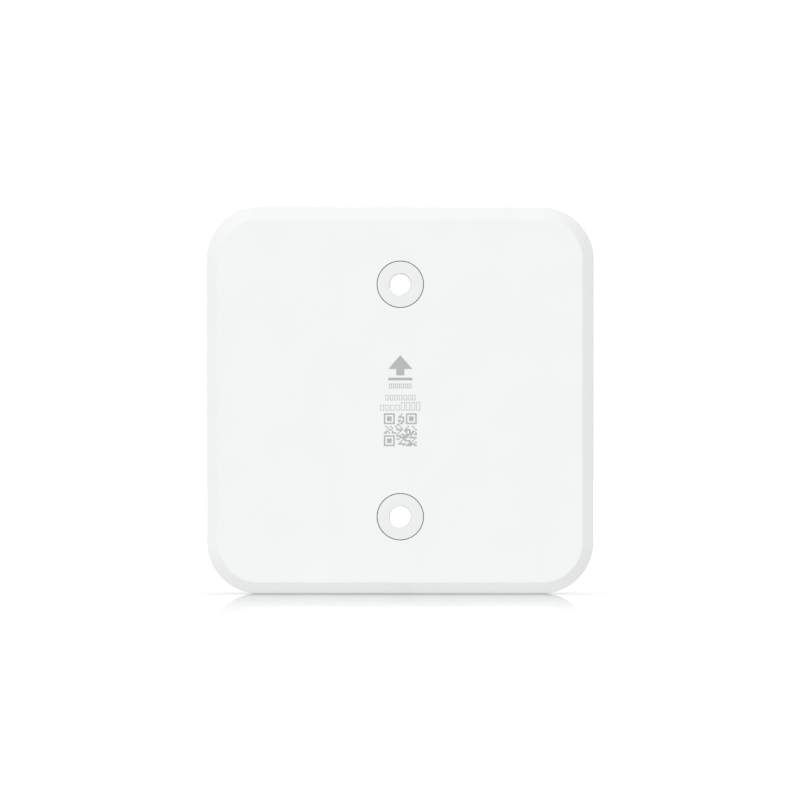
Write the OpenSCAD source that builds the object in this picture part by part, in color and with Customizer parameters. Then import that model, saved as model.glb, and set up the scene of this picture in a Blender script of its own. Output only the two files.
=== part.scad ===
// Magnetic mounting plate for a compact access point.
//
// The plate stands upright: +X to the right and +Z up as the wall side is seen,
// and +Y from the wall (y = 0) out towards the device. The origin is the centre
// of the flat wall side. Depths below are measured from the wall, in millimetres.

/* [Plate] */
// Width and height of the plate
plate_w = 100; // [98:1:110]
// Depth of the plate without its grip pad
plate_depth = 7; // [7:0.1:8]
// Radius of the outline's corners
corner_r = 13.5; // [13:0.5:16]
// Width and depth of the bevel round the wall side
bevel = 3; // [2.5:0.1:3.2]
// Thickness of the rear shell's floor
floor_t = 1.8; // [1.6:0.1:1.8]
// Thickness of the rim round the cover
rim_t = 1.8; // [1.4:0.1:2]

/* [Wall screws] */
// Distance between the two wall screws
screw_pitch = 60; // [58:1:62]
// Bore for a wall screw's shank
bore_d = 5.3; // [4.5:0.1:5.6]
// Recess for a wall screw's head
head_recess_d = 9.2; // [8.6:0.1:9.4]
// Round face of a bushing, as seen from the wall
bushing_d = 11.8; // [11.6:0.1:12]
// Hole in the rear shell round a bushing's face
bushing_hole_d = 12.2; // [12.2:0.1:12.6]
// Flange that holds a bushing behind the floor
flange_d = 17; // [15:0.5:18]

/* [Magnets] */
// Diameter of one magnet
magnet_d = 12; // [11:0.5:12]
// Thickness of one magnet
magnet_t = 2.5; // [2:0.1:2.5]
// Distance of each column of magnets from the centre
magnet_x = 30; // [28:0.5:30]
// Heights of the magnets in a column, above and below the centre
magnet_z = [33, 11, -11, -33];

/* [Yoke] */
// Thickness of the steel yoke plate
yoke_t = 1; // [0.8:0.1:1]
// Width and height of the yoke plate
yoke_w = 93; // [90:0.5:93]

/* [Grip pad] */
// Width and height of the pad
pad_w = 90; // [89:0.5:91]
// Width of the pad's band
pad_band = 5; // [4:0.5:5]
// Thickness of the pad
pad_t = 1; // [0.8:0.1:1.2]
// Height of the pad above the cover
pad_proud = 0.5; // [0.3:0.1:0.5]
// Thickness of the adhesive under the pad
film_t = 0.1; // [0.1:0.05:0.2]

/* [Cover screws] */
// Thread diameter of a cover screw
thread_d = 1.9; // [1.8:0.1:2]
// Length of a cover screw under its head
thread_len = 3; // [2.6:0.1:3]
// Diameter of a cover screw's head
screw_head_d = 3.8; // [3.4:0.1:3.8]
// Height of a cover screw's head
screw_head_h = 1.2; // [1:0.1:1.2]

/* [Hidden] */
$fn = 96;

// Play round parts that drop in, and round the cover in its rim
play = 0.1;
cover_play = 0.15;

// The rear shell, from the wall outwards
half = plate_w / 2;
wall_t = rim_t + 1;
rib_top = 3;
rib_t = 1.2;
// Straight ribs: [centre x, centre z, length along x, length along z]
ribs = [
    [-20, 0, rib_t, 76],
    [20, 0, rib_t, 76],
    [0, 0, 34, rib_t],
    [-43, 0, rib_t, 56],
    [43, 0, rib_t, 56],
    [0, 43, 56, rib_t],
    [0, -43, 56, rib_t],
];
boss_r = 2.6;
boss_top = 4.6;
pilot_floor = 2.3;
rim_edge = 0.4;

// The yoke lies on the ribs and the magnets stand on it
yoke_top = rib_top + yoke_t;
yoke_r = 10;

// The cover closes the rim
cover_t = 1.4;
cover_low = plate_depth - cover_t;
cover_half = half - rim_t - cover_play;
cover_r = corner_r - rim_t - cover_play;
cover_edge = 0.3;
collar_low = yoke_top + 0.05;
collar_t = 1.3;
cup_t = 1.2;
magnet_lip = 0.7;
pocket_top = yoke_top + magnet_t + 0.05;
well_r = 3.2;
screw_seat = plate_depth - screw_head_h - 0.25;

// The pad lies in a groove in the cover
pad_r = 8.5;
pad_edge = 0.2;
pad_low = plate_depth + pad_proud - pad_t;
groove_low = pad_low - film_t;

// A bushing: its face is set back a little so that the shell meets the wall first
bushing_face = 0.1;
// Narrow cone that leads a screw into the bore
lead_in_w = 0.25;
lead_in_d = 1.1;
head_seat = 2.6;
bushing_places = [[0, screw_pitch / 2], [0, -screw_pitch / 2]];

magnet_places = [for (z = magnet_z, x = [-magnet_x, magnet_x]) [x, z]];

// Screws in the sides, and pairs above and below the bushings
side_screw_x = 37;
end_screw_x = 15;
end_screw_z = 36.5;
screw_places = [
    [-end_screw_x, end_screw_z],
    [end_screw_x, end_screw_z],
    [-side_screw_x, 0],
    [side_screw_x, 0],
    [-end_screw_x, -end_screw_z],
    [end_screw_x, -end_screw_z],
];

// A cover screw's six-lobed drive
drive_r = 0.62;
lobe_r = 0.24;
drive_depth = 0.7;

magnet_count = len(magnet_places);
screw_count = len(screw_places);

// Pieces are drawn lying on the wall side, with depth along z, and then stood up
module upright() {
    rotate([-90, 0, 0]) children();
}

// Moves a lying piece to [x, z] of the upright plate
module place(p) {
    translate([p[0], -p[1], 0]) children();
}

// A round bar between two depths
module round_bar(r, low, high) {
    translate([0, 0, low]) cylinder(r = r, h = high - low);
}

// Carries a profile round a square with round corners. The profile's x runs
// outwards from a corner's centre and its y is the depth.
module sweep_square(outer, r) {
    side = outer - r;
    for (turn = [0:90:270]) rotate([0, 0, turn]) translate([side, side, 0]) {
        rotate_extrude(angle = 90) children();
        rotate([90, 0, 0]) linear_extrude(2 * side) children();
    }
}

// A flat band that follows the outline
module band(outer, r, width, low, high) {
    sweep_square(outer, r)
        translate([r - width, low]) square([width, high - low]);
}

// The square core inside the corners' centres
module core(side, low, high) {
    translate([-side, -side, low]) cube([2 * side, 2 * side, high - low]);
}

// A square plate with round corners
module slab(outer, r, low, high) {
    band(outer, r, r, low, high);
    core(outer - r, low, high);
}

// Section of the rear shell: floor, bevel, side wall, ledge and rim
module shell_section() {
    bevel_wall = bevel + floor_t * sqrt(2);
    polygon([
        [0, 0],
        [corner_r - bevel, 0],
        [corner_r, bevel],
        [corner_r, plate_depth - rim_edge],
        [corner_r - rim_edge, plate_depth],
        [corner_r - rim_t, plate_depth],
        [corner_r - rim_t, cover_low],
        [corner_r - wall_t, cover_low],
        [corner_r - wall_t, bevel_wall - wall_t],
        [corner_r - bevel_wall + floor_t, floor_t],
        [0, floor_t],
    ]);
}

// Ribs on the floor that carry the yoke plate
module shell_ribs() {
    for (rib = ribs) place(rib)
        translate([-rib[2] / 2, -rib[3] / 2, floor_t])
            cube([rib[2], rib[3], rib_top - floor_t]);
}

module rear_shell() {
    color("white") upright() difference() {
        union() {
            sweep_square(half, corner_r) shell_section();
            core(half - corner_r, 0, floor_t);
            shell_ribs();
            for (p = screw_places) place(p) round_bar(boss_r, floor_t, boss_top);
        }
        for (p = bushing_places) place(p) round_bar(bushing_hole_d / 2, -1, floor_t + 1);
        for (p = screw_places)
            place(p) round_bar(thread_d / 2 + play / 2, pilot_floor, boss_top + 1);
    }
}

// Flanged sleeve that takes one wall screw and its head
module screw_bushing(p) {
    color("whitesmoke") upright() place(p) rotate_extrude() polygon([
        [bore_d / 2 + lead_in_w, bushing_face],
        [bushing_d / 2, bushing_face],
        [bushing_d / 2, floor_t],
        [flange_d / 2, floor_t],
        [flange_d / 2, rib_top],
        [bushing_d / 2, rib_top],
        [bushing_d / 2, plate_depth],
        [head_recess_d / 2, plate_depth],
        [head_recess_d / 2, head_seat],
        [bore_d / 2, head_seat],
        [bore_d / 2, bushing_face + lead_in_d],
    ]);
}

module yoke_plate() {
    color("silver") upright() difference() {
        slab(yoke_w / 2, yoke_r, rib_top, yoke_top);
        for (p = bushing_places)
            place(p) round_bar(bushing_d / 2 + 2 * play, rib_top - 1, yoke_top + 1);
        for (p = screw_places)
            place(p) round_bar(boss_r + 3 * play, rib_top - 1, yoke_top + 1);
    }
}

module magnet(p) {
    color("gainsboro") upright() place(p)
        round_bar(magnet_d / 2, yoke_top, yoke_top + magnet_t);
}

// Section of the cover's edge band
module cover_section() {
    polygon([
        [0, cover_low],
        [cover_r, cover_low],
        [cover_r, plate_depth - cover_edge],
        [cover_r - cover_edge, plate_depth],
        [0, plate_depth],
    ]);
}

module front_cover() {
    pocket_r = magnet_d / 2 + play;
    sleeve_r = bushing_d / 2 + 2 * play;
    color("white") upright() difference() {
        union() {
            sweep_square(cover_half, cover_r) cover_section();
            core(cover_half - cover_r, cover_low, plate_depth);
            for (p = magnet_places) place(p) round_bar(pocket_r + cup_t, collar_low, cover_low);
            for (p = bushing_places) place(p) round_bar(sleeve_r + collar_t, collar_low, cover_low);
            for (p = screw_places) place(p) round_bar(well_r, boss_top, cover_low);
        }
        for (p = magnet_places) place(p) {
            round_bar(pocket_r, collar_low - 1, pocket_top);
            round_bar(pocket_r - magnet_lip, pocket_top - 1, plate_depth + 1);
        }
        for (p = bushing_places) place(p) round_bar(sleeve_r, collar_low - 1, plate_depth + 1);
        for (p = screw_places) place(p) {
            round_bar(thread_d / 2 + 2 * play, boss_top - 1, plate_depth + 1);
            round_bar(screw_head_d / 2 + 2 * play, screw_seat, plate_depth + 1);
        }
        band(pad_w / 2 + play, pad_r + play, pad_band + 2 * play, groove_low, plate_depth + 1);
    }
}

module pad_adhesive() {
    color("lightgray") upright() band(pad_w / 2, pad_r, pad_band, groove_low, pad_low);
}

// Soft ring that the device presses on
module grip_pad() {
    top = plate_depth + pad_proud;
    color("lightgray") upright() sweep_square(pad_w / 2, pad_r) polygon([
        [pad_r - pad_band, pad_low],
        [pad_r, pad_low],
        [pad_r, top - pad_edge],
        [pad_r - pad_edge, top],
        [pad_r - pad_band + pad_edge, top],
        [pad_r - pad_band, top - pad_edge],
    ]);
}

// Socket of a cover screw: a round centre with six lobes
module drive_socket() {
    top = screw_seat + screw_head_h;
    round_bar(drive_r, top - drive_depth, top + 1);
    for (turn = [0:60:300])
        rotate([0, 0, turn]) translate([drive_r, 0, 0])
            round_bar(lobe_r, top - drive_depth, top + 1);
}

module cover_screw(p) {
    color("dimgray") upright() place(p) difference() {
        union() {
            round_bar(thread_d / 2, screw_seat - thread_len, screw_seat);
            round_bar(screw_head_d / 2, screw_seat, screw_seat + screw_head_h);
        }
        drive_socket();
    }
}

rear_shell();
screw_bushing(bushing_places[0]);  // upper_screw_bushing
screw_bushing(bushing_places[1]);  // lower_screw_bushing
yoke_plate();
for (i = [1:magnet_count])
    magnet(magnet_places[i - 1]);
front_cover();
pad_adhesive();
grip_pad();
for (i = [1:screw_count])
    cover_screw(screw_places[i - 1]);
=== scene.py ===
"""Looks of the magnetic mounting plate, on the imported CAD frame.

Sizes are in millimetres until a mesh is made. A section's points are (across, depth, round):
across is the inset from an outline or the radius of a lathe, depth is measured from the wall
along +Y, and round is the radius of that corner.
"""

import math

import bmesh
import bpy
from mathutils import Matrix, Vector


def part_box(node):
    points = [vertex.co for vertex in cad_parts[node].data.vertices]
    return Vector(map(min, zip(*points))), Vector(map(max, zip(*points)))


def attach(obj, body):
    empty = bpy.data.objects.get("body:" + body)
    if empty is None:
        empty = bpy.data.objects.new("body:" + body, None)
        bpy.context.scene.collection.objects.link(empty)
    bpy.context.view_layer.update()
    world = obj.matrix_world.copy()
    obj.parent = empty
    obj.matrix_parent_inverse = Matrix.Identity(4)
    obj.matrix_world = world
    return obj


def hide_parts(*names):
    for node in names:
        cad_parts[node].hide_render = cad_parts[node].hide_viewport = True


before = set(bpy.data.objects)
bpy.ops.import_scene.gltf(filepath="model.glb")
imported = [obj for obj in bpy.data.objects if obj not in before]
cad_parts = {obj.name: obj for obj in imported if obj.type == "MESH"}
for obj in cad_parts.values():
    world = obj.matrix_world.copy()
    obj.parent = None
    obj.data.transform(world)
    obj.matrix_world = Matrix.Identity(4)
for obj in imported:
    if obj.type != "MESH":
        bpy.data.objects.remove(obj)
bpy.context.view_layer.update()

MM = 0.001


def box_mm(node):
    """Lowest and highest corner of a CAD node, in millimetres."""
    low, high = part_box(node)
    return Vector(low) / MM, Vector(high) / MM


def centre_of(node):
    """(x, z) of the middle of a CAD node, in millimetres."""
    low, high = box_mm(node)
    return (low.x + high.x) / 2, (low.z + high.z) / 2


# ---------------------------------------------------------------- sizes
# The frame gives the outer sizes. Most others repeat the CAD's own dimensions, so that each finer
# mesh fills the space of the node it stands for. The rest are details that only these meshes have,
# such as the thread's pitch and the pad's grooves. A strip is the width that a section is swept
# round an outline, before the flat face starts. The cover's is the one on its underside.

# Rear shell
shell_low, shell_high = box_mm("rear_shell")
HALF = shell_high.x
DEPTH = shell_high.y
CORNER_R = 13.5
BEVEL = 3.0
FLOOR_T = 1.8
RIM_T = 1.8
LEDGE = 1.0
BUSHING_HOLE_R = 6.1
SHELL_STRIP = 6.0

# Ribs on the shell's floor: places and lengths
RIB_T = 1.2
COLUMN_X = 20
COLUMN_LENGTH = 76
EDGE_OUT = 43
EDGE_LENGTH = 56
CROSS_LENGTH = 34

# Bosses for the cover screws
BOSS_R = 2.6
BOSS_TOP = 4.6
PILOT_R = 1.0
PILOT_FLOOR = 2.3

# Front cover
cover_low, cover_high = box_mm("front_cover")
COVER_HALF = cover_high.x
COVER_R = CORNER_R - (HALF - COVER_HALF)
COVER_FLOOR = DEPTH - 1.4
COVER_STRIP = 4.55
COLLAR_LOW = cover_low.y
POCKET_R = 6.1
POCKET_TOP = 6.55
WINDOW_R = 5.4
CUP_T = 1.2
SLEEVE_HOLE_R = 6.1
COLLAR_T = 1.3
WELL_R = 3.2
SCREW_HOLE_R = 1.15
SCREW_RECESS_R = 2.1

# Grip pad and its film
pad_low, pad_high = box_mm("grip_pad")
FILM_LOW = box_mm("pad_adhesive")[0].y
PAD_HALF = pad_high.x
PAD_R = 8.5
PAD_BAND = 5.0
PAD_PLAY = 0.1
PAD_DIP = 0.25
PAD_GROOVES = (1.25, 2.85)

# Screw bushings
BUSHINGS = ["upper_screw_bushing", "lower_screw_bushing"]
BUSHING_R = 5.9
FLANGE_R = 8.5
FLANGE_TOP = 3.0
BORE_R = 2.65
LEAD_IN_W = 0.25
LEAD_IN_D = 1.1
HEAD_RECESS_R = 4.6
HEAD_SEAT = 2.6

# Magnets and cover screws
MAGNETS = [f"magnet_{i}" for i in range(1, 9)]
SCREWS = [f"cover_screw_{i}" for i in range(1, 7)]
SCREW_SEAT = 5.55
SCREW_TIP_R = 0.3
THREAD_R = 0.95
THREAD_CORE_R = 0.72
THREAD_PITCH = 0.5
THREAD_RINGS = 60
SOCKET_DEPTH = 0.7
SOCKET_MOUTH_R = 1.05
SOCKET_POINT_R = 0.3

# Fineness: steps in a square's corner, in circles, and the largest turn in a fillet
CORNER_STEPS = 24
CIRCLE_STEPS = 72
SLEEVE_STEPS = 96
SMALL_STEPS = 48
BOSS_STEPS = 36
FILLET_TURN = math.radians(11)


# ---------------------------------------------------------------- mesh tools


def rounded(points, closed=False):
    """A section's outline, with each corner (across, depth, round) turned into an arc."""
    outline = []
    for i, (across, depth, *extra) in enumerate(points):
        corner = Vector((across, depth))
        radius = extra[0] if extra else 0
        at_end = not closed and i in (0, len(points) - 1)
        if not radius or at_end:
            outline.append(corner)
            continue
        back = (Vector(points[i - 1][:2]) - corner).normalized()
        on = (Vector(points[(i + 1) % len(points)][:2]) - corner).normalized()
        outline += fillet(corner, back, on, radius)
    return outline


def fillet(corner, back, on, radius):
    """Points of the arc in a corner between two directions that leave it."""
    angle = back.angle(on)
    turn = math.pi - angle
    reach = radius / math.tan(angle / 2)
    centre = corner + (back + on).normalized() * (radius / math.sin(angle / 2))
    start = corner + back * reach - centre
    end = corner + on * reach - centre
    count = max(2, math.ceil(turn / FILLET_TURN))
    arc = []
    for k in range(count + 1):
        a = math.sin((1 - k / count) * turn)
        b = math.sin(k / count * turn)
        arc.append(centre + (start * a + end * b) / math.sin(turn))
    return arc


def square_ring(half, corner, inset, depth):
    """Points round a square with round corners, inset from its outline."""
    side = half - corner
    ring = []
    for k, (sx, sz) in enumerate(((1, 1), (-1, 1), (-1, -1), (1, -1))):
        for j in range(CORNER_STEPS + 1):
            angle = (k + j / CORNER_STEPS) * math.pi / 2
            x = sx * side + (corner - inset) * math.cos(angle)
            z = sz * side + (corner - inset) * math.sin(angle)
            ring.append((x, depth, z))
    return ring


def circle_ring(place, radius, depth, steps=CIRCLE_STEPS):
    """Points round a circle at (x, z). radius may be a function of the angle."""
    ring = []
    for j in range(steps):
        angle = 2 * math.pi * j / steps
        r = radius(angle) if callable(radius) else radius
        ring.append((place[0] + r * math.cos(angle), depth, place[1] + r * math.sin(angle)))
    return ring


def rectangle(place, width, height):
    """Corners (x, z) of a rectangle centred at a place."""
    signs = ((1, 1), (-1, 1), (-1, -1), (1, -1))
    return [(place[0] + a * width / 2, place[1] + b * height / 2) for a, b in signs]


def at_depth(outline, depth):
    """A ring at one depth, from an outline of (x, z) points."""
    return [(x, depth, z) for x, z in outline]


def swept(half, corner, section):
    """Rings of a section carried round a square outline."""
    return [square_ring(half, corner, p.x, p.y) for p in section]


def turned(place, section, steps=CIRCLE_STEPS):
    """Rings of a section turned about an axis at (x, z)."""
    return [circle_ring(place, p.x, p.y, steps) for p in section]


class Skin:
    """A mesh being made from rings of points."""

    def __init__(self):
        self.bm = bmesh.new()

    def ring(self, points):
        return [self.bm.verts.new(Vector(p) * MM) for p in points]

    def join(self, a, b, smooth=True):
        """Faces between two rings of the same count."""
        for i in range(len(a)):
            j = (i + 1) % len(a)
            face = self.bm.faces.new((a[i], a[j], b[j], b[i]))
            face.smooth = smooth

    def walk(self, rings, closed=False, smooth=True):
        """Joins rings one after another and gives the first and the last."""
        made = [self.ring(points) for points in rings]
        for a, b in zip(made, made[1:]):
            self.join(a, b, smooth)
        if closed:
            self.join(made[-1], made[0], smooth)
        return made[0], made[-1]

    def close(self, ring):
        """A flat end."""
        self.bm.faces.new(ring)

    def solid(self, rings, smooth=True):
        """Joins rings one after another and closes both ends."""
        for end in self.walk(rings, smooth=smooth):
            self.close(end)

    def turn_at(self, nodes, section, steps=CIRCLE_STEPS):
        """Turns a section about each node's axis. Gives the first rings and the last rings."""
        ends = [self.walk(turned(centre_of(node), section, steps)) for node in nodes]
        return [first for first, _ in ends], [last for _, last in ends]

    def fill(self, *rings):
        """The flat face between an outer ring and the rings inside it."""
        edges = []
        for ring in rings:
            for i in range(len(ring)):
                pair = (ring[i], ring[(i + 1) % len(ring)])
                edge = self.bm.edges.get(pair) or self.bm.edges.new(pair)
                edges.append(edge)
        bmesh.ops.triangle_fill(self.bm, use_beauty=True, use_dissolve=False, edges=edges)

    def piece(self, name, material, *nodes, slot=None):
        """Makes the object, in place of the CAD nodes given."""
        bmesh.ops.recalc_face_normals(self.bm, faces=self.bm.faces)
        mesh = bpy.data.meshes.new(name)
        self.bm.to_mesh(mesh)
        self.bm.free()
        made = bpy.data.objects.new(name, mesh)
        bpy.context.scene.collection.objects.link(made)
        mesh.materials.append(material)
        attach(made, "root")
        if nodes:
            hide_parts(*nodes)


# ---------------------------------------------------------------- materials

# Nearly all of a noise's values lie between these
NOISE_LOW = 0.3
NOISE_HIGH = 0.7


class Nodes:
    """A short way to write a node tree."""

    def __init__(self, tree):
        self.tree = tree

    def add(self, kind, **values):
        node = self.tree.nodes.new(kind)
        for key, value in values.items():
            setattr(node, key, value)
        return node

    def link(self, source, target):
        self.tree.links.new(source, target)

    def put(self, value, socket):
        """Links an output to a socket, or sets a number on it."""
        if isinstance(value, bpy.types.NodeSocket):
            self.link(value, socket)
        else:
            socket.default_value = value

    def spread(self, source, low, high, start=NOISE_LOW, end=NOISE_HIGH, kind="LINEAR"):
        """Turns start..end of a value into low..high, and holds it there beyond them."""
        node = self.add("ShaderNodeMapRange", interpolation_type=kind)
        node.inputs["From Min"].default_value = start
        node.inputs["From Max"].default_value = end
        node.inputs["To Min"].default_value = low
        node.inputs["To Max"].default_value = high
        self.link(source, node.inputs["Value"])
        return node.outputs["Result"]

    def calc(self, operation, a, b, clamp=False):
        """Arithmetic on two outputs or numbers."""
        node = self.add("ShaderNodeMath", operation=operation, use_clamp=clamp)
        self.put(a, node.inputs[0])
        self.put(b, node.inputs[1])
        return node.outputs[0]

    def beyond(self, source, middle, half):
        """Distance outside middle - half to middle + half, never negative."""
        away = self.calc("ABSOLUTE", self.calc("SUBTRACT", source, middle), 0)
        return self.calc("MAXIMUM", self.calc("SUBTRACT", away, half), 0)

    def length(self, x, y):
        """Length of the vector with these two components."""
        vector = self.add("ShaderNodeCombineXYZ")
        self.link(x, vector.inputs["X"])
        self.link(y, vector.inputs["Y"])
        node = self.add("ShaderNodeVectorMath", operation="LENGTH")
        self.link(vector.outputs["Vector"], node.inputs[0])
        return node.outputs["Value"]

    def split(self, vector):
        """The X, Y and Z of a vector."""
        node = self.add("ShaderNodeSeparateXYZ")
        self.link(vector, node.inputs["Vector"])
        return node.outputs

    def glow(self, kind, strength):
        """White emission or background, with a number or an output for its strength."""
        node = self.add(kind)
        node.inputs["Color"].default_value = (1, 1, 1, 1)
        self.put(strength, node.inputs["Strength"])
        return node

    def blend(self, share, first, second):
        """A shader between two shaders."""
        mix = self.add("ShaderNodeMixShader")
        self.link(share, mix.inputs["Fac"])
        self.link(first.outputs[0], mix.inputs[1])
        self.link(second.outputs[0], mix.inputs[2])
        return mix


class Material(Nodes):
    """A material whose patterns lie in the piece's own coordinates."""

    def __init__(self, name):
        self.material = bpy.data.materials.new(name)
        self.material.use_nodes = True
        super().__init__(self.material.node_tree)
        self.shader = self.tree.nodes["Principled BSDF"]
        self.place = self.add("ShaderNodeTexCoord").outputs["Object"]

    def stretch(self, scale):
        """Object coordinates scaled by three factors."""
        mapping = self.add("ShaderNodeMapping")
        mapping.inputs["Scale"].default_value = scale
        self.link(self.place, mapping.inputs["Vector"])
        return mapping.outputs["Vector"]

    def noise(self, size_mm, detail=3.0, roughness=0.5, vector=None):
        """Noise with features of about this size."""
        node = self.add("ShaderNodeTexNoise")
        node.inputs["Scale"].default_value = 1 / (size_mm * MM)
        node.inputs["Detail"].default_value = detail
        node.inputs["Roughness"].default_value = roughness
        self.link(vector or self.place, node.inputs["Vector"])
        return node.outputs["Fac"]

    def cells(self, size_mm, feature="F1"):
        """Distances in a field of cells of about this size."""
        node = self.add("ShaderNodeTexVoronoi", feature=feature)
        node.inputs["Scale"].default_value = 1 / (size_mm * MM)
        self.link(self.place, node.inputs["Vector"])
        return node.outputs["Distance"]

    def tint(self, source, dark, light):
        """A colour between two tints, on the base colour."""
        ramp = self.add("ShaderNodeValToRGB")
        ramp.color_ramp.elements[0].position = NOISE_LOW
        ramp.color_ramp.elements[0].color = (*dark, 1)
        ramp.color_ramp.elements[1].position = NOISE_HIGH
        ramp.color_ramp.elements[1].color = (*light, 1)
        self.link(source, ramp.inputs["Fac"])
        self.link(ramp.outputs["Color"], self.shader.inputs["Base Color"])

    def gloss(self, source, low, high):
        """Roughness between two values."""
        self.link(self.spread(source, low, high), self.shader.inputs["Roughness"])

    def relief(self, source, depth_um, strength, under=None):
        """Fine relief in the surface, in micrometres, over another relief if one is given."""
        bump = self.add("ShaderNodeBump")
        bump.inputs["Strength"].default_value = strength
        bump.inputs["Distance"].default_value = depth_um * 1e-6
        self.link(source, bump.inputs["Height"])
        if under:
            self.link(under, bump.inputs["Normal"])
        return bump.outputs["Normal"]

    def surface(self, normal):
        self.link(normal, self.shader.inputs["Normal"])

    def set(self, **values):
        for key, value in values.items():
            self.shader.inputs[key.replace("_", " ")].default_value = value


def moulded_plastic(name, dark, light, rough, grain_um):
    """White moulded plastic with a fine spark-eroded texture and faint flow marks."""
    m = Material(name)
    m.tint(m.noise(14, detail=2), dark, light)
    m.gloss(m.noise(3, detail=4), rough - 0.03, rough + 0.03)
    flow = m.relief(m.noise(9, detail=1), 6, 0.15)
    grain = m.relief(m.noise(0.16, detail=2, roughness=0.6), grain_um, 0.35, flow)
    m.surface(grain)
    m.set(IOR=1.5)
    return m.material


def silicone(name, dark, light):
    """Soft matt rubber with a powdery bloom."""
    m = Material(name)
    m.tint(m.noise(2.2, detail=6, roughness=0.65), dark, light)
    m.gloss(m.noise(0.8, detail=3), 0.62, 0.8)
    skin = m.relief(m.noise(0.12, detail=3, roughness=0.7), 8, 0.5)
    m.surface(skin)
    m.set(IOR=1.42, Sheen_Weight=0.25, Sheen_Roughness=0.4)
    return m.material


def plated_metal(name, dark, light, smooth, rough, streak):
    """Plated metal with fine streaks along one axis and small pits."""
    m = Material(name)
    streaks = m.noise(0.5, detail=5, roughness=0.7, vector=m.stretch(streak))
    m.tint(m.noise(1.4, detail=4), dark, light)
    m.gloss(streaks, smooth, rough)
    lines = m.relief(streaks, 8, 0.4)
    pits = m.relief(m.cells(0.35), 5, 0.2, lines)
    m.surface(pits)
    m.set(Metallic=1.0)
    return m.material


def zinc_sheet(name):
    """Zinc-plated sheet steel with a faint spangle."""
    m = Material(name)
    m.tint(m.cells(5), (0.56, 0.57, 0.58), (0.70, 0.71, 0.72))
    m.gloss(m.cells(5, feature="SMOOTH_F1"), 0.28, 0.45)
    m.surface(m.relief(m.noise(0.3, detail=4), 5, 0.3))
    m.set(Metallic=1.0)
    return m.material


def adhesive(name):
    """Thin fibrous double-sided film."""
    m = Material(name)
    fibres = m.noise(0.6, detail=6, vector=m.stretch((1, 1, 6)))
    m.tint(fibres, (0.74, 0.73, 0.68), (0.84, 0.83, 0.78))
    m.gloss(m.noise(0.8), 0.35, 0.55)
    m.surface(m.relief(m.noise(0.4, detail=5), 10, 0.4))
    return m.material


def grey_print(name, dark, light):
    """Grey printed film, a little uneven."""
    m = Material(name)
    m.tint(m.noise(0.22, detail=4, roughness=0.7), dark, light)
    m.gloss(m.noise(0.5), 0.4, 0.55)
    m.surface(m.relief(m.noise(0.1, detail=2), 4, 0.3))
    return m.material


SHELL_LOOK = moulded_plastic(
    "shell_plastic", (0.866, 0.880, 0.882), (0.882, 0.894, 0.897), rough=0.42, grain_um=5
)
COVER_LOOK = moulded_plastic(
    "cover_plastic", (0.85, 0.858, 0.856), (0.868, 0.874, 0.872), rough=0.5, grain_um=9
)
BUSHING_LOOK = moulded_plastic(
    "bushing_plastic", (0.815, 0.828, 0.83), (0.835, 0.846, 0.848), rough=0.48, grain_um=5
)
PAD_LOOK = silicone("pad_silicone", (0.45, 0.46, 0.47), (0.49, 0.50, 0.51))
MAGNET_LOOK = plated_metal(
    "magnet_nickel", (0.68, 0.675, 0.665), (0.73, 0.725, 0.715), 0.14, 0.26, streak=(1, 1, 9)
)
SCREW_LOOK = plated_metal(
    "screw_steel", (0.20, 0.20, 0.21), (0.30, 0.30, 0.31), 0.25, 0.42, streak=(6, 1, 1)
)
YOKE_LOOK = zinc_sheet("yoke_steel")
FILM_LOOK = adhesive("adhesive_film")
MARK_LOOK = grey_print("mark_grey", (0.42, 0.425, 0.43), (0.50, 0.505, 0.51))
ROW_LOOK = grey_print("row_grey", (0.50, 0.505, 0.51), (0.58, 0.585, 0.59))


# ---------------------------------------------------------------- pieces


def shell_section():
    """The shell's wall from the wall side over the bevel, the rim and the ledge to its floor."""
    # Across plus depth is BEVEL on the bevel's face, and this much on the inner side of it
    inner = BEVEL + FLOOR_T * math.sqrt(2)
    ledge = RIM_T + LEDGE
    return rounded([
        (SHELL_STRIP, 0),
        (BEVEL + 0.5, 0),
        (BEVEL, 0, 0.4),
        (0, BEVEL, 0.8),
        (0, DEPTH, 0.5),
        (RIM_T, DEPTH, 0.15),
        (RIM_T, COVER_FLOOR),
        (ledge, COVER_FLOOR, 0.1),
        (ledge, inner - ledge),
        (inner - FLOOR_T, FLOOR_T),
        (SHELL_STRIP, FLOOR_T),
    ])


def bushing_hole():
    """Edge of the hole that a bushing sits in, from the wall side to the floor."""
    return rounded([
        (BUSHING_HOLE_R + 0.3, 0),
        (BUSHING_HOLE_R, 0, 0.1),
        (BUSHING_HOLE_R, FLOOR_T, 0.1),
        (BUSHING_HOLE_R + 0.3, FLOOR_T),
    ])


def screw_boss():
    """Boss for a cover screw, from its foot over its top to the end of the pilot bore."""
    return rounded([
        (BOSS_R, FLOOR_T),
        (BOSS_R, BOSS_TOP, 0.2),
        (PILOT_R, BOSS_TOP, 0.2),
        (PILOT_R, PILOT_FLOOR),
    ])


def ribs():
    """Outlines of the straight ribs under the yoke."""
    made = [rectangle((0, 0), CROSS_LENGTH, RIB_T)]
    for side in (-1, 1):
        made.append(rectangle((side * COLUMN_X, 0), RIB_T, COLUMN_LENGTH))
        made.append(rectangle((side * EDGE_OUT, 0), RIB_T, EDGE_LENGTH))
        made.append(rectangle((0, side * EDGE_OUT), EDGE_LENGTH, RIB_T))
    return made


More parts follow.
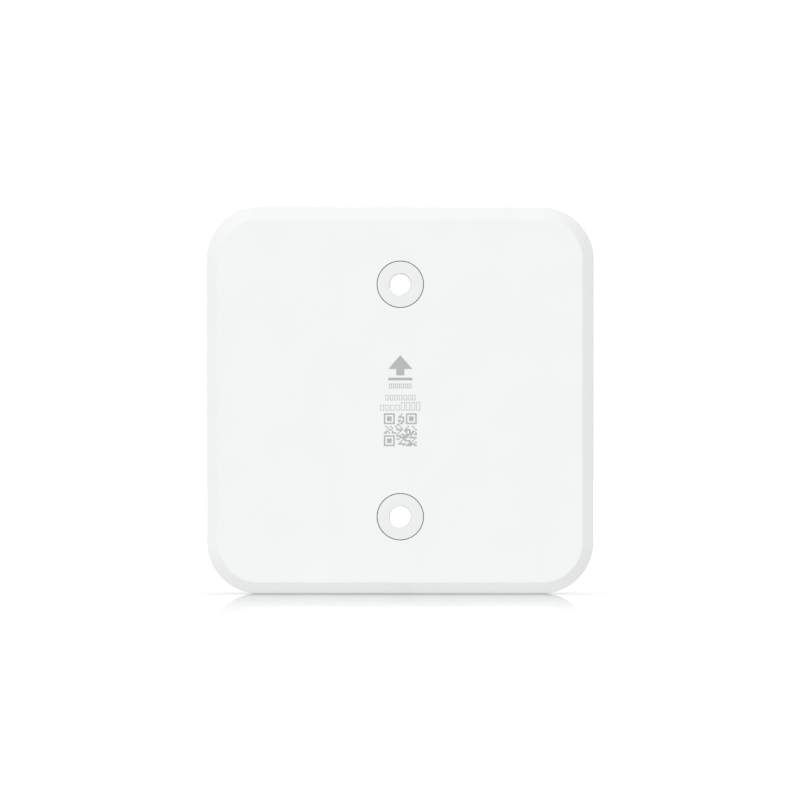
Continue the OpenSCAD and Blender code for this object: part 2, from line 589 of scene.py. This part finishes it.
def rear_shell():
    """The shell: wall side with its bevel, rim, cavity, ribs and bosses."""
    skin = Skin()
    wall_edge, floor_edge = skin.walk(swept(HALF, CORNER_R, shell_section()))
    wall_holes, floor_holes = skin.turn_at(BUSHINGS, bushing_hole())
    boss_feet, pilot_ends = skin.turn_at(SCREWS, screw_boss(), BOSS_STEPS)
    rib_feet, rib_tops = [], []
    for outline in ribs():
        sides = [at_depth(outline, FLOOR_T), at_depth(outline, FLANGE_TOP)]
        foot, top = skin.walk(sides, smooth=False)
        rib_feet.append(foot)
        rib_tops.append(top)
    for ring in pilot_ends + rib_tops:
        skin.close(ring)
    skin.fill(wall_edge, *wall_holes)
    skin.fill(floor_edge, *floor_holes, *boss_feet, *rib_feet)
    skin.piece("shell", SHELL_LOOK, "rear_shell", slot="shell_plastic")


def cover_section():
    """The cover's edge and the pad's groove, from the underside to the flat in the middle."""
    groove_out = COVER_HALF - PAD_HALF - PAD_PLAY
    groove_in = COVER_HALF - PAD_HALF + PAD_BAND + PAD_PLAY
    return rounded([
        (COVER_STRIP, COVER_FLOOR),
        (0, COVER_FLOOR, 0.1),
        (0, DEPTH, 0.3),
        (groove_out, DEPTH, 0.1),
        (groove_out, FILM_LOW),
        (groove_in, FILM_LOW),
        (groove_in, DEPTH, 0.1),
        (groove_in + 0.3, DEPTH),
    ])


def magnet_cup():
    """Cup that centres a magnet, with the lip that holds it and the window in front of it."""
    return rounded([
        (POCKET_R + CUP_T, COVER_FLOOR),
        (POCKET_R + CUP_T, COLLAR_LOW, 0.2),
        (POCKET_R, COLLAR_LOW, 0.2),
        (POCKET_R, POCKET_TOP),
        (WINDOW_R, POCKET_TOP, 0.1),
        (WINDOW_R, DEPTH, 0.2),
        (WINDOW_R + 0.4, DEPTH),
    ])


def bushing_collar():
    """Collar round a bushing's sleeve."""
    return rounded([
        (SLEEVE_HOLE_R + COLLAR_T, COVER_FLOOR),
        (SLEEVE_HOLE_R + COLLAR_T, COLLAR_LOW, 0.2),
        (SLEEVE_HOLE_R, COLLAR_LOW, 0.2),
        (SLEEVE_HOLE_R, DEPTH, 0.2),
        (SLEEVE_HOLE_R + 0.4, DEPTH),
    ])


def screw_well():
    """Well that stands on a boss, with the hole and the recess for a cover screw."""
    return rounded([
        (WELL_R, COVER_FLOOR),
        (WELL_R, BOSS_TOP, 0.15),
        (SCREW_HOLE_R, BOSS_TOP),
        (SCREW_HOLE_R, SCREW_SEAT),
        (SCREW_RECESS_R, SCREW_SEAT),
        (SCREW_RECESS_R, DEPTH, 0.15),
        (SCREW_RECESS_R + 0.25, DEPTH),
    ])


def front_cover():
    """The cover: groove for the pad, magnet cups with lips, collars and screw wells."""
    skin = Skin()
    under_edge, top_edge = skin.walk(swept(COVER_HALF, COVER_R, cover_section()))
    under_cups, windows = skin.turn_at(MAGNETS, magnet_cup())
    under_collars, sleeve_holes = skin.turn_at(BUSHINGS, bushing_collar())
    under_wells, recesses = skin.turn_at(SCREWS, screw_well(), SMALL_STEPS)
    skin.fill(under_edge, *under_cups, *under_collars, *under_wells)
    skin.fill(top_edge, *windows, *sleeve_holes, *recesses)
    skin.piece("cover", COVER_LOOK, "front_cover", slot="cover_plastic")


def screw_bushing(node):
    """Flanged sleeve with a bore and a recess for a wall screw's head."""
    face = box_mm(node)[0].y
    section = rounded([
        (BORE_R + LEAD_IN_W, face, 0.06),
        (BUSHING_R, face, 0.1),
        (BUSHING_R, FLOOR_T),
        (FLANGE_R, FLOOR_T, 0.2),
        (FLANGE_R, FLANGE_TOP, 0.2),
        (BUSHING_R, FLANGE_TOP),
        (BUSHING_R, DEPTH, 0.2),
        (HEAD_RECESS_R, DEPTH, 0.35),
        (HEAD_RECESS_R, HEAD_SEAT, 0.4),
        (BORE_R, HEAD_SEAT, 0.12),
        (BORE_R, face + LEAD_IN_D, 0.2),
    ], closed=True)
    skin = Skin()
    skin.walk(turned(centre_of(node), section, SLEEVE_STEPS), closed=True)
    skin.piece(node + "_sleeve", BUSHING_LOOK, node, slot="bushing_plastic")


def magnet(node):
    """Plated disc with soft edges."""
    low, high = box_mm(node)
    radius = (high.x - low.x) / 2
    flat_r = radius - 0.6
    section = rounded([
        (flat_r, low.y),
        (radius, low.y, 0.3),
        (radius, high.y, 0.3),
        (flat_r, high.y),
    ])
    skin = Skin()
    skin.solid(turned(centre_of(node), section))
    skin.piece(node + "_disc", MAGNET_LOOK, node, slot="magnet_nickel")


def grip_pad():
    """Soft ring with two shallow grooves between three lands."""
    low, top = pad_low.y, pad_high.y
    dip = top - PAD_DIP
    section = [(0, low, 0.1), (0, top, 0.25)]
    for start in PAD_GROOVES:
        section += [
            (start, top, 0.12),
            (start + 0.2, dip, 0.1),
            (start + 0.7, dip, 0.1),
            (start + 0.9, top, 0.12),
        ]
    section += [(PAD_BAND, top, 0.25), (PAD_BAND, low, 0.1)]
    skin = Skin()
    skin.walk(swept(PAD_HALF, PAD_R, rounded(section, closed=True)), closed=True)
    skin.piece("pad", PAD_LOOK, "grip_pad", slot="pad_silicone")


def thread_radius(depth, fade):
    """Radius of a helical thread at a depth, as a function of the angle."""

    def radius(angle):
        turn = (depth / THREAD_PITCH - angle / (2 * math.pi)) % 1
        ridge = max(0, 1 - abs(2 * turn - 1) * 1.5)
        return THREAD_CORE_R + (THREAD_R - THREAD_CORE_R) * ridge * fade

    return radius


def lobes(scale):
    """Outline of a six-lobe socket."""

    def radius(angle):
        return scale * (0.74 + 0.12 * math.cos(6 * angle))

    return radius


def shank_rings(tip, end):
    """(radius, depth) from a screw's tip up its thread, which fades in and out."""
    start = tip + 0.2
    rings = [(SCREW_TIP_R, tip), (THREAD_CORE_R, tip + 0.15)]
    for k in range(THREAD_RINGS + 1):
        share = k / THREAD_RINGS
        depth = start + (end - start) * share
        fade = min(1, 4 * share, 6 * (1 - share))
        rings.append((thread_radius(depth, fade), depth))
    return rings


def head_rings(shank_end, head_r, top):
    """(radius, depth) from the shank round a pan head and down its six-lobe socket."""
    head = rounded([
        (THREAD_CORE_R, shank_end + 0.05),
        (THREAD_CORE_R, SCREW_SEAT),
        (head_r, SCREW_SEAT, 0.1),
        (head_r, top, 0.55),
        (SOCKET_MOUTH_R + 0.1, top),
        (SOCKET_MOUTH_R, top),
    ])
    socket_floor = top - SOCKET_DEPTH
    socket = [
        (lobes(1.06), top - 0.03),
        (lobes(1.0), top - 0.1),
        (lobes(1.0), socket_floor),
        (SOCKET_POINT_R, socket_floor - 0.1),
    ]
    return [(p.x, p.y) for p in head] + socket


def cover_screw(node):
    """Small screw: threaded shank, pan head and six-lobe socket."""
    place = centre_of(node)
    low, high = box_mm(node)
    shank_end = SCREW_SEAT - 0.25
    rings = shank_rings(low.y, shank_end)
    rings += head_rings(shank_end, (high.x - low.x) / 2, high.y)
    skin = Skin()
    skin.solid([circle_ring(place, radius, depth, SMALL_STEPS) for radius, depth in rings])
    skin.piece(node + "_six_lobe", SCREW_LOOK, node, slot="screw_steel")


# ---------------------------------------------------------------- printed marks

# The film stands this far proud of the wall side, and starts this far inside it
MARK_T = 0.02
MARK_SINK = 0.004

ARROW_FOOT = 5.2
ARROW_TOP = 11.7
ARROW_WIDTH = 6.2
BAR_HEIGHT = 0.7
BAR_GAP = 0.6

# A box takes this share of its pitch, and its line is this wide
BOX_SHARE = 0.76
BOX_STROKE = 0.17

# Rows of boxes: left, right, base line, height, count
DARK_ROW = (-3.0, 3.0, 3.16, 1.2, 6)
LIGHT_ROWS = (
    (-4.0, 4.1, 0.05, 1.35, 7),
    (-5.4, 0.0, -2.6, 1.5, 4),
    (0.0, 5.3, -2.6, 2.2, 4),
)

# Square of cells. A framed square's ring of cells is counted from its middle cell.
CODE_CELLS = 21
CODE_SIZE = 8.5
CODE_MIDDLE = (0.0, -7.55)
CELL_SHARE = 0.97
FRAMED_CELLS = 7
FRAMED_MIDDLE = 3
DARK_RINGS = (0, 1, 3)


def slab(skin, outline, hole=None):
    """A thin closed film with this outline of (x, z) points on the wall side."""
    depths = (MARK_SINK, -MARK_T)
    rings = [at_depth(outline, d) for d in depths]
    if not hole:
        skin.solid(rings, smooth=False)
        return
    rings += [at_depth(hole, d) for d in reversed(depths)]
    skin.walk(rings, closed=True, smooth=False)


def up_arrow(skin):
    """Plain arrow that shows which way is up, over a bar."""
    neck = ARROW_TOP - 0.55 * (ARROW_TOP - ARROW_FOOT)
    tail = ARROW_FOOT + BAR_HEIGHT + BAR_GAP
    shaft = ARROW_WIDTH * 0.17
    slab(skin, [
        (0, ARROW_TOP),
        (-ARROW_WIDTH / 2, neck),
        (-shaft, neck),
        (-shaft, tail),
        (shaft, tail),
        (shaft, neck),
        (ARROW_WIDTH / 2, neck),
    ])
    slab(skin, rectangle((0, ARROW_FOOT + BAR_HEIGHT / 2), ARROW_WIDTH, BAR_HEIGHT))


def open_boxes(skin, left, right, base, height, count):
    """A row of small empty boxes between two x positions, standing on a base line."""
    pitch = (right - left) / count
    width = pitch * BOX_SHARE
    for i in range(count):
        place = (left + (i + 0.5) * pitch, base + height / 2)
        inside = rectangle(place, width - 2 * BOX_STROKE, height - 2 * BOX_STROKE)
        slab(skin, rectangle(place, width, height), inside)


def corner_of_code(i, j):
    """Where a cell lies in its corner's framed square or the strip round it, or None."""
    last = CODE_CELLS - 1
    for a, b in ((i, j), (i, last - j), (last - i, last - j)):
        if a <= FRAMED_CELLS and b <= FRAMED_CELLS:
            return a, b
    return None


def cell_is_dark(i, j):
    """Three framed squares, and between them a rule that holds no data."""
    corner = corner_of_code(i, j)
    if corner:
        ring = max(abs(corner[0] - FRAMED_MIDDLE), abs(corner[1] - FRAMED_MIDDLE))
        return ring in DARK_RINGS
    return (7 * i * i + 13 * j * j + 5 * i * j + 3 * i + 11 * j) % 17 < 8


def cell_square(skin):
    """Square of printed cells."""
    pitch = CODE_SIZE / CODE_CELLS
    cell = pitch * CELL_SHARE
    for i in range(CODE_CELLS):
        for j in range(CODE_CELLS):
            if cell_is_dark(i, j):
                x = CODE_MIDDLE[0] + (i + 0.5) * pitch - CODE_SIZE / 2
                z = CODE_MIDDLE[1] + (j + 0.5) * pitch - CODE_SIZE / 2
                slab(skin, rectangle((x, z), cell, cell))


def printed_marks():
    """Plain marks in the column between the two bores."""
    dark, light = Skin(), Skin()
    up_arrow(dark)
    cell_square(dark)
    open_boxes(dark, *DARK_ROW)
    for row in LIGHT_ROWS:
        open_boxes(light, *row)
    dark.piece("printed_marks", MARK_LOOK)
    light.piece("printed_rows", ROW_LOOK)


def repaint(node, material):
    """Gives a CAD node that is still shown its material."""
    mesh_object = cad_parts[node]
    for slot in mesh_object.material_slots:
        slot.material = material


# ---------------------------------------------------------------- stage, light and camera
# FLOOR_Z is in millimetres. The other lengths here are in metres, as shaders see them.

FLOOR_Z = shell_low.z - 0.01
FLOOR_HALF = 6.0

# What the camera sees: paint, a glow that lifts it to white, and the mirror. The lift and the
# mirror change with the distance from the plate's outline: the lift is weaker near the plate,
# a painted shade on the floor round it. The mirror is also shaded where something is within
# SHADE_REACH of the floor.
FLOOR_PAINT = 0.45
FLOOR_LIFT = 0.6
FLOOR_LIFT_FAR = 0.72
LIFT_START = 0.1
LIFT_END = 0.6
MIRROR_REACH = 0.22
MIRROR_START = 1.6
MIRROR_IOR = 1.6
MIRROR_FADE = 3
MIRROR_SHADE = 0.72
SHADE_REACH = 0.014

# What the plate gets back is a painted glow on the floor, in place of bounced light: the floor's
# own level, a painted contact shade at the plate's foot, and its shares near the plate, which are
# a painted brighter pool for soft rays and a painted darker floor for glossy rays. The contact is
# counted from the plate's foot, and past the foot's straight part only CORNER_SHARE of the way
# counts. The others are counted from the plate's outline.
PAINTED_FLOOR_LEVEL = 0.85
CONTACT_SHADE_SHARE = 0.68
CONTACT_REACH = 0.0008
CORNER_SHARE = 0.15
NEAR_SHARE = 1.09
NEAR_REACH = 0.12
GLOSSY_SHARE = 0.6
GLOSSY_REACH = 0.2

# The world's light
LIGHT_BASE = 0.70
LIGHT_LEAN = (-0.09, -0.13, 0.04)
LIGHT_LEAST = 0.12
BACKGROUND = 1.02

# What gloss reflects: (height, level) from straight down to straight up, and less at the back
SHINE_LEVELS = (
    (0.0, 0.8),
    (0.45, 1.0),
    (0.57, 1.0),
    (0.68, 0.55),
    (0.8, 0.65),
    (0.92, 1.0),
    (1.0, 1.1),
)
SHINE_BACK = 0.6


def seen_floor(m, away):
    """White paint that mirrors the plate, less and less away from it and dimmer in tight gaps."""
    nearness = m.spread(away, 1, 0, 0, MIRROR_REACH)
    fade = m.calc("MULTIPLY", m.calc("POWER", nearness, MIRROR_FADE), MIRROR_START)
    fresnel = m.add("ShaderNodeFresnel")
    fresnel.inputs["IOR"].default_value = MIRROR_IOR
    share = m.calc("MULTIPLY", fade, fresnel.outputs["Fac"], clamp=True)

    paint = m.add("ShaderNodeBsdfDiffuse")
    paint.inputs["Color"].default_value = (FLOOR_PAINT, FLOOR_PAINT, FLOOR_PAINT, 1)
    # The glow is weaker near the plate: a painted shade on the floor round it
    lift = m.spread(away, FLOOR_LIFT, FLOOR_LIFT_FAR, LIFT_START, LIFT_END)
    white = m.add("ShaderNodeAddShader")
    m.link(paint.outputs[0], white.inputs[0])
    m.link(m.glow("ShaderNodeEmission", lift).outputs[0], white.inputs[1])

    gaps = m.add("ShaderNodeAmbientOcclusion", samples=8)
    gaps.inputs["Distance"].default_value = SHADE_REACH
    mirror = m.add("ShaderNodeBsdfGlossy")
    m.link(m.spread(gaps.outputs["AO"], MIRROR_SHADE, 1, 0, 1), mirror.inputs["Color"])
    mirror.inputs["Roughness"].default_value = 0
    return m.blend(share, white, mirror)


def painted_floor_light(m, place, away, glossy):
    """Painted glow that the floor gives back in place of bounced light: even far away, with a
    painted contact shade in the line of contact.

    Soft rays find a painted brighter pool near the plate, and glossy rays a painted darker floor
    there.
    """
    foot_y = (BEVEL + DEPTH) / 2
    aside = m.beyond(place["X"], 0, (HALF - CORNER_R) * MM)
    across = m.beyond(place["Y"], foot_y * MM, (DEPTH - foot_y) * MM)
    gap = m.length(m.calc("MULTIPLY", aside, CORNER_SHARE), across)
    # Painted contact shade: the glow drops to this much in the line where the plate stands on the
    # floor
    dark = PAINTED_FLOOR_LEVEL * CONTACT_SHADE_SHARE
    under = m.spread(gap, dark, PAINTED_FLOOR_LEVEL, 0, CONTACT_REACH, kind="SMOOTHSTEP")
    # Painted brighter pool near the plate for soft rays, and a painted darker floor there for
    # glossy rays
    painted_pool = m.spread(away, NEAR_SHARE, 1.0, 0, NEAR_REACH)
    painted_glossy_shade = m.spread(away, GLOSSY_SHARE, 1.0, 0, GLOSSY_REACH)
    darker = m.calc("MULTIPLY", m.calc("SUBTRACT", painted_glossy_shade, painted_pool), glossy)
    level = m.calc("MULTIPLY", under, m.calc("ADD", painted_pool, darker))
    return m.glow("ShaderNodeEmission", level)


def floor_look():
    """The floor's material: one look for the camera, and another for every other ray."""
    m = Material("floor_white")
    m.tree.nodes.remove(m.shader)
    place = m.split(m.place)
    half_depth = DEPTH * MM / 2
    away = m.length(
        m.beyond(place["X"], 0, HALF * MM),
        m.beyond(place["Y"], half_depth, half_depth),
    )
    ray = m.add("ShaderNodeLightPath").outputs
    painted_glow = painted_floor_light(m, place, away, ray["Is Glossy Ray"])
    both = m.blend(ray["Is Camera Ray"], painted_glow, seen_floor(m, away))
    m.link(both.outputs[0], m.tree.nodes["Material Output"].inputs["Surface"])
    return m.material


def floor():
    """Pale floor just under the plate's lower edge."""
    mesh = bpy.data.meshes.new("floor")
    side = FLOOR_HALF
    corners = [(-side, -side), (side, -side), (side, side), (-side, side)]
    mesh.from_pydata([(x, y, FLOOR_Z * MM) for x, y in corners], [], [(0, 1, 2, 3)])
    mesh.materials.append(floor_look())
    made = bpy.data.objects.new("floor", mesh)
    bpy.context.scene.collection.objects.link(made)


def soft_light(m, direction):
    """The world's soft light, which leans to the front, the top and a little left."""
    lean = m.add("ShaderNodeVectorMath", operation="DOT_PRODUCT")
    lean.inputs[1].default_value = LIGHT_LEAN
    m.link(direction, lean.inputs[0])
    level = m.calc("ADD", lean.outputs["Value"], LIGHT_BASE)
    return m.glow("ShaderNodeBackground", m.calc("MAXIMUM", level, LIGHT_LEAST))


def shine(m, direction):
    """What glossy surfaces reflect: bands by height, dimmer behind the plate."""
    parts = m.split(direction)
    ramp = m.add("ShaderNodeValToRGB")
    elements = ramp.color_ramp.elements
    elements[0].position = SHINE_LEVELS[0][0]
    elements[1].position = SHINE_LEVELS[-1][0]
    for position, _ in SHINE_LEVELS[1:-1]:
        elements.new(position)
    for element, (position, level) in zip(elements, SHINE_LEVELS):
        element.position = position
        element.color = (level, level, level, 1)
    m.link(m.spread(parts["Z"], 0, 1, -1, 1), ramp.inputs["Fac"])
    glow = m.glow("ShaderNodeBackground", m.spread(parts["Y"], 1.0, SHINE_BACK, -1, 1))
    m.link(ramp.outputs["Color"], glow.inputs["Color"])
    return glow


def surroundings():
    """White for the camera and for sharp reflections, and soft light or shine for other rays."""
    world = bpy.data.worlds.new("studio")
    bpy.context.scene.world = world
    world.use_nodes = True
    m = Nodes(world.node_tree)
    m.tree.nodes.clear()
    direction = m.add("ShaderNodeTexCoord").outputs["Generated"]
    ray = m.add("ShaderNodeLightPath").outputs
    lit = m.blend(ray["Is Glossy Ray"], soft_light(m, direction), shine(m, direction))
    sharp = m.calc("MAXIMUM", ray["Is Camera Ray"], ray["Is Singular Ray"])
    both = m.blend(sharp, lit, m.glow("ShaderNodeBackground", BACKGROUND))
    m.link(both.outputs[0], m.add("ShaderNodeOutputWorld").inputs["Surface"])


def softbox(name, towards, distance, size, power):
    """Square soft light in a direction from the object, aimed back at it. Sizes in metres."""
    light = bpy.data.lights.new(name, "AREA")
    light.shape = "SQUARE"
    light.size = size
    light.energy = power
    made = bpy.data.objects.new(name, light)
    bpy.context.scene.collection.objects.link(made)
    out = Vector(towards).normalized()
    made.location = out * distance
    made.rotation_euler = out.to_track_quat("Z", "Y").to_euler()
    made.visible_camera = False


def camera():
    """Long lens, level with the middle of the plate and square to its wall side."""
    lens = 200.0
    sensor = 36.0
    frame_width = 207.0
    aside, above = -0.08, 0.13
    data = bpy.data.cameras.new("camera")
    data.lens = lens
    data.sensor_width = sensor
    data.clip_start = 0.01
    data.clip_end = 100
    made = bpy.data.objects.new("camera", data)
    bpy.context.scene.collection.objects.link(made)
    # The frame has its width in the plane of the plate's outline, where the bevel ends
    away = frame_width * lens / sensor
    made.location = Vector((aside, BEVEL - away, above)) * MM
    made.rotation_euler = (math.pi / 2, 0, 0)
    bpy.context.scene.camera = made


# ---------------------------------------------------------------- build

rear_shell()
front_cover()
grip_pad()
for name in BUSHINGS:
    screw_bushing(name)
for name in MAGNETS:
    magnet(name)
for name in SCREWS:
    cover_screw(name)
printed_marks()
repaint("yoke_plate", YOKE_LOOK)
repaint("pad_adhesive", FILM_LOOK)

floor()
surroundings()
softbox("key", (-0.18, -0.69, 0.7), distance=2.5, size=0.8, power=17.7)
softbox("back", (0.3, 1, 0.5), distance=1.5, size=0.8, power=8.0)
camera()
bpy.context.scene.view_settings.view_transform = "Standard"
